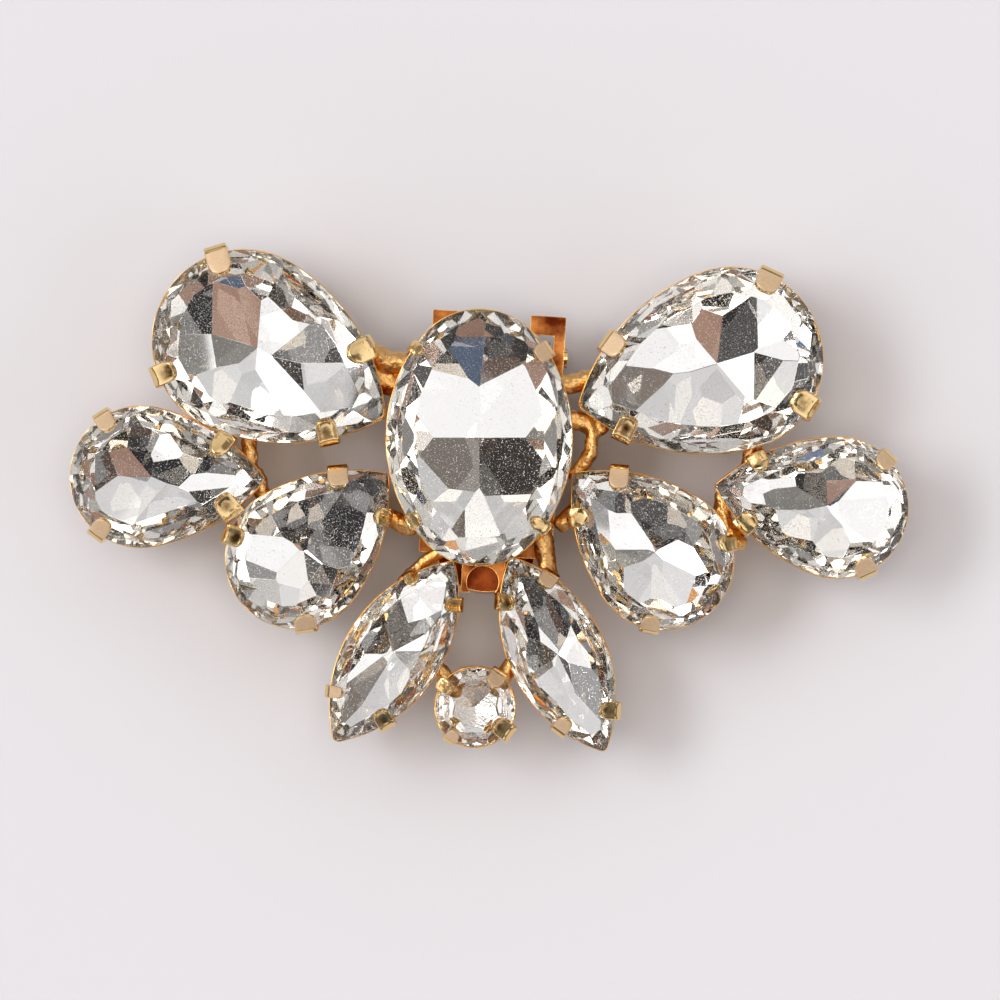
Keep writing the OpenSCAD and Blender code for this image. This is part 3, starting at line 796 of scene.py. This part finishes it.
def facets(name, rng):
    """Every facet's plane, a point and a normal: table, crown rows, main facets, pavilion rows."""
    cut = STONES[name][0]
    shape = CUTS[cut]
    band, edges, kites = FACETS[cut]
    girdle = BACK_Z + shape["girdle"]
    top, bottom = girdle + GIRDLE_T / 2, girdle - GIRDLE_T / 2
    table = top + shape["crown"]
    depth = shape["girdle"] - SHEET - 0.3
    culet = Vector((shape["culet"], 0, bottom - depth))
    planes = [(Vector((0, 0, table)), Vector((0, 0, 1)))]
    for here, after in around(kites):
        for t, steep in ((0, 1), (0.5, 0.72)):
            at, slope = facing(cut, here + t * (after - here), 1, SEAT_GAP + band, table, 1)
            slope = slope.xy.normalized()
            planes.append((at, Vector((*(slope * steep * shape["crown"]), band))))
        for t in (0.27, 0.73):
            at, slope = facing(cut, here + t * (after - here), 1, SEAT_GAP, top, 1)
            slope = slope.xy.normalized()
            planes.append((at, Vector((*(slope * shape["crown"] * rng.uniform(1.25, 1.4)), band))))
    (inner, low), (outer, high) = PAVILION
    knees = {}
    for here, knee in zip(edges, KNEES[name]):
        edge, _ = outline_hit(cut, here, shape["culet"], SEAT_GAP)
        knees[here] = Vector((
            shape["culet"] + inner * (edge.x - shape["culet"]),
            inner * edge.y,
            culet.z + low * depth * knee,
        ))
    main = []
    for here, after in around(edges):
        main.append((culet, (knees[here] - culet).cross(knees[after % 360] - culet)))
    for x, y, way, slope in TOUCHES.get(name, ()):
        turn = math.radians(-STONES[name][3])
        at = culet + Matrix.Rotation(turn, 3, "Z") @ Vector((x, y, 0))
        at.z = max(p.z - (n.x * (at.x - p.x) + n.y * (at.y - p.y)) / n.z for p, n in main)
        way, rise = math.radians(way) + turn, math.tan(math.radians(slope))
        planes.append((at, Vector((-rise * math.cos(way), -rise * math.sin(way), 1))))
    planes += main
    for here, after in around(edges):
        for t in (0, 0.5) if after - here > 70 else (0,):
            if name == "stone_oval" and (here + t * (after - here)) % 180 == 90:
                continue
            steep = -depth * (high - low) / (outer - inner)
            turn = here + t * (after - here)
            planes.append(facing(cut, turn, inner, SEAT_GAP, knees[here].z, steep))
        count = max(2, round((after - here) / 28))
        for i in range(count):
            steep = -depth * (1 - high) / (1 - outer) * rng.uniform(0.92, 1.08)
            turn = here + (i + 0.5) / count * (after - here)
            planes.append(facing(cut, turn, 1, SEAT_GAP, bottom, steep))
    return planes


def around(turns):
    """Each direction with the next one round the circle."""
    return [(a, b + 360 * (b <= a)) for a, b in zip(turns, turns[1:] + turns[:1])]


def stone(name):
    """A stone cut out of a block of its outline by its facets' planes, its edges just broken."""
    cut = STONES[name][0]
    shape = CUTS[cut]
    outline = ring(cut, SEAT_GAP)
    inside = Vector((shape["culet"], 0, BACK_Z + shape["girdle"]))
    bm = bmesh.new()
    levels = (BACK_Z, BACK_Z + shape["girdle"] + shape["crown"] + 1)
    loops = loft(bm, [[Vector((p.x, p.y, z)) for p in outline] for z in levels], False)
    for loop in loops:
        bm.faces.new(loop)
    for at, normal in facets(name, random.Random(name)):
        if normal.dot(inside - at) > 0:
            normal.negate()
        bmesh.ops.bisect_plane(
            bm, geom=bm.verts[:] + bm.edges[:] + bm.faces[:], dist=1e-5,
            plane_co=at, plane_no=normal.normalized(), clear_outer=True,
        )
        bmesh.ops.holes_fill(bm, edges=[e for e in bm.edges if e.is_boundary])
    bmesh.ops.remove_doubles(bm, verts=bm.verts, dist=0.004)
    bmesh.ops.dissolve_degenerate(bm, edges=bm.edges, dist=0.002)
    bmesh.ops.recalc_face_normals(bm, faces=bm.faces)
    sharp = [e for e in bm.edges if e.is_manifold and e.calc_face_angle() > 0.09]
    bmesh.ops.bevel(
        bm, geom=sharp, offset=FACET_EDGE, segments=1, affect="EDGES", clamp_overlap=True
    )
    back = [face for face in bm.faces if face.normal.z < -0.02]
    for face in back:
        middle = face.calc_center_median()
        crazed = cut == "round" and math.hypot(middle.x, middle.y) < CRAZED_R
        face.material_index = CRAZED_SLOT if crazed else FOIL_SLOT
    coat = bmesh.ops.duplicate(bm, geom=back)["geom"]
    coat_faces = [item for item in coat if isinstance(item, bmesh.types.BMFace)]
    for vert in (item for item in coat if isinstance(item, bmesh.types.BMVert)):
        vert.co += vert.normal * COAT_GAP
    for face in coat_faces:
        face.material_index = LACQUER_SLOT
    bmesh.ops.solidify(bm, geom=coat_faces, thickness=-COAT_T)
    piece = finished("cut_" + name[6:], bm, placing(name))
    for material in (CRYSTAL, FOIL, LACQUER, CRAZED_FOIL):
        piece.data.materials.append(material)
    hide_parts(name)
    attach(piece, "buckle")


for name in STONES:
    stone(name)

# Shoe clip. A plate soldered under the cups carries two ears, a riveted pin and a toothed lever. It
# is stamped spring metal, gold plated, with edges rounded by the press and by tumbling.
EDGE_ROUND = 0.12


def clip_gilt(name, darker_tone, full, smooth, dull):
    """Gold over coppered steel: in clouds of 1 to 2 mm redder than the cups, and a little duller
    than they are. On the plate and the lever both colours are darkened into painted shade, the
    shade that the clip lies in under the cups; on the edges they are a painted highlight."""
    made, tree, out = blank_material(name)
    where = add(tree, "ShaderNodeTexCoord").outputs["Object"]
    skin = add(tree, "ShaderNodeTexNoise", {"Vector": where, "Scale": 600, "Detail": 3})
    rough = add(tree, "ShaderNodeMapRange", {
        "Value": skin.outputs["Fac"], "To Min": smooth, "To Max": dull,
    })
    bump = add(tree, "ShaderNodeBump", {
        "Height": skin.outputs["Fac"], "Strength": 0.2, "Distance": 0.05 * MM,
    })
    bath = add(tree, "ShaderNodeMapRange", {
        "Value": skin.outputs["Fac"], "From Min": 0.35, "From Max": 0.65,
    })
    tone = add(tree, "ShaderNodeMix", {"Factor": bath.outputs["Result"]}, data_type="RGBA")
    tone.inputs["A"].default_value = srgb(darker_tone)
    tone.inputs["B"].default_value = srgb(full)
    shader = add(tree, "ShaderNodeBsdfPrincipled", {
        "Base Color": tone.outputs["Result"],
        "Metallic": 1.0,
        "Roughness": rough.outputs["Result"],
        "Normal": bump.outputs["Normal"],
    })
    tree.links.new(shader.outputs[0], out.inputs[0])
    return made


EDGE_SLOT = 1
# The plate's dark red-brown is painted shade for the shade under the cups; its clouds vary at
# random
PLATE_SHADED_GILT = clip_gilt("clip_gilt", "#66260f", "#b5763f", 0.12, 0.3)
# The lever's colours are darker still: painted shade for the lever lying deeper in shade behind the
# plate
LEVER_SHADED_GILT = clip_gilt("lever_gilt", "#64230e", "#8c4422", 0.12, 0.3)
# The edges' bright gold is a painted highlight, given to the rounded edges
EDGE_HIGHLIGHT_GILT = clip_gilt("rubbed_gilt", "#e0a25c", "#f4cb88", 0.1, 0.25)


def pressed(node, name, body, gilt):
    """A clip part as the frame has it, its edges rounded by the press and given a painted
    highlight.
    """
    bm = bmesh.new()
    bm.from_mesh(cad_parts[node].data)
    bmesh.ops.remove_doubles(bm, verts=bm.verts, dist=1e-7)
    bmesh.ops.dissolve_limit(bm, angle_limit=0.02, verts=bm.verts, edges=bm.edges)
    sharp = [e for e in bm.edges if e.is_manifold and e.calc_face_angle() > 0.5]
    rounded = bmesh.ops.bevel(
        bm, geom=sharp, offset=EDGE_ROUND * MM, segments=2, affect="EDGES", clamp_overlap=True
    )
    # The rounded edges take the painted highlight
    for face in rounded["faces"]:
        face.material_index = EDGE_SLOT
    piece = finished(name, bm)
    piece.data.materials.append(gilt)
    piece.data.materials.append(EDGE_HIGHLIGHT_GILT)
    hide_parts(node)
    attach(piece, body)


pressed("clip_base", "clip_plate", "buckle", PLATE_SHADED_GILT)
pressed("clip_lever", "clip_thumb_lever", "lever", LEVER_SHADED_GILT)
pressed("clip_pin", "clip_rivet", "buckle", PLATE_SHADED_GILT)

# The surface that the buckle lies on, the soft room around it, and the camera straight above.
FLOOR = "#d4d4da"
PHOTO_WIDTH = 71.33
CAMERA_HEIGHT = 450.0
PHOTO_CENTRE = (0.778, -0.154)
GIRDLE_LEVEL = 9  # the height at which PHOTO_WIDTH is measured
SENSOR = 36


def floor():
    """A wide pale sheet."""
    bm = bmesh.new()
    bmesh.ops.create_grid(bm, x_segments=1, y_segments=1, size=1.5)
    piece = finished("pale_floor", bm)
    made, tree, out = blank_material("pale_paper")
    shader = add(tree, "ShaderNodeBsdfPrincipled", {"Base Color": srgb(FLOOR), "Roughness": 0.7})
    tree.links.new(shader.outputs[0], out.inputs[0])
    piece.data.materials.append(made)


floor()

SURROUND = (0.55, 0.545, 0.55)
ROOM_STRENGTH = 0.78
WHITE, BLACK, BROWN = (1.75, 1.75, 1.77), (0.045, 0.045, 0.05), (0.55, 0.34, 0.26)
KEY, BLUE, ORANGE = (13.0, 12.9, 12.8), (0.18, 0.4, 0.76), (1.5, 0.68, 0.22)
# Each field of the room: from and to in degrees round the compass, from and to in degrees down from
# straight up, and its light
ROOM_FIELDS = [
    (0, 360, 78, 90, (0.4, 0.4, 0.4)),
    (280, 300, 78, 90, (0.22, 0.3, 0.45)),
    (0, 360, 0, 17, (4.8, 4.4, 3.9)),
    (0, 360, 0, 6, (0.02, 0.02, 0.02)),
    (50, 106, 18, 78, (1.15, 1.15, 1.17)),
    (112, 216, 18, 56, (2.1, 2.1, 2.12)),
    (145, 185, 30, 46, KEY),
    (106, 112, 24, 50, ORANGE),
    (104, 116, 50, 60, (1.2, 1.2, 1.22)),
    (217, 221, 24, 60, BLUE),
    (120, 172, 58, 72, (0.07, 0.06, 0.055)),
    (106, 172, 72, 78, (1.15, 1.15, 1.17)),
    (22, 50, 72, 78, (1.15, 1.15, 1.17)),
    (22, 50, 36, 57, (1.6, 1.58, 1.56)),
    (172, 216, 56, 76, WHITE),
    (216, 282, 16, 52, BLACK),
    (216, 238, 52, 54, BLACK),
    (282, 312, 18, 58, (0.62, 0.38, 0.28)),
    (238, 262, 52, 62, BROWN),
    (200, 345, 62, 78, WHITE),
    (312, 350, 18, 38, BROWN),
    (312, 350, 38, 62, WHITE),
    (350, 360, 18, 36, BLACK),
    (0, 20, 18, 36, BLACK),
    (350, 360, 36, 50, (0.36, 0.35, 0.33)),
    (0, 20, 36, 50, (0.36, 0.35, 0.33)),
    (350, 360, 50, 76, WHITE),
    (0, 22, 50, 76, WHITE),
    (25, 50, 57, 72, (0.34, 0.3, 0.27)),
    (112, 130, 18, 33, (0.2, 0.19, 0.175)),
    (160, 186, 18, 30, (0.12, 0.12, 0.12)),
    (172, 360, 72, 78, BLACK),
    (0, 22, 72, 78, BLACK),
    (50, 106, 72, 78, BLACK),
]


def room():
    """A pale studio as light: a grey surround, with bright and dark fields for the glass to
    mirror."""
    world = bpy.data.worlds.new("studio")
    bpy.context.scene.world = world
    world.use_nodes = True
    tree = world.node_tree
    tree.nodes.clear()
    out = add(tree, "ShaderNodeOutputWorld")
    where = add(tree, "ShaderNodeTexCoord").outputs["Generated"]
    part = add(tree, "ShaderNodeSeparateXYZ", {"Vector": where}).outputs
    down = add(tree, "ShaderNodeMath", {0: part["Z"]}, operation="ARCCOSINE").outputs[0]
    turn = add(tree, "ShaderNodeMath", {0: part["Y"], 1: part["X"]}, operation="ARCTAN2").outputs[0]
    turn = add(tree, "ShaderNodeMath", {0: turn, 1: math.tau, 2: 0.0}, operation="WRAP").outputs[0]
    colour = add(tree, "ShaderNodeRGB").outputs[0]
    colour.default_value = (*SURROUND, 1)
    for left, right, high, low, tone in ROOM_FIELDS:
        inside = []
        for angle, a, b in ((turn, left, right), (down, high, low)):
            inside.append(add(tree, "ShaderNodeMath", {
                0: angle, 1: math.radians((a + b) / 2), 2: math.radians((b - a) / 2),
            }, operation="COMPARE").outputs[0])
        both = add(tree, "ShaderNodeMath", {0: inside[0], 1: inside[1]}, operation="MULTIPLY")
        mixed = add(tree, "ShaderNodeMix", {"Factor": both.outputs[0]}, data_type="RGBA")
        tree.links.new(colour, mixed.inputs["A"])
        mixed.inputs["B"].default_value = (*tone, 1)
        colour = mixed.outputs["Result"]
    shader = add(tree, "ShaderNodeBackground", {"Color": colour, "Strength": ROOM_STRENGTH})
    tree.links.new(shader.outputs[0], out.inputs[0])


room()

scene = bpy.context.scene
scene.view_settings.view_transform = "Standard"
scene.cycles.max_bounces = 20
scene.cycles.glossy_bounces = 12
scene.cycles.transmission_bounces = 16
camera = bpy.data.objects.new("camera", bpy.data.cameras.new("camera"))
scene.collection.objects.link(camera)
camera.location = (PHOTO_CENTRE[0] * MM, PHOTO_CENTRE[1] * MM, CAMERA_HEIGHT * MM)
camera.data.sensor_width = SENSOR
camera.data.lens = SENSOR * (CAMERA_HEIGHT - GIRDLE_LEVEL) / PHOTO_WIDTH
camera.data.clip_start = 0.01
scene.camera = camera
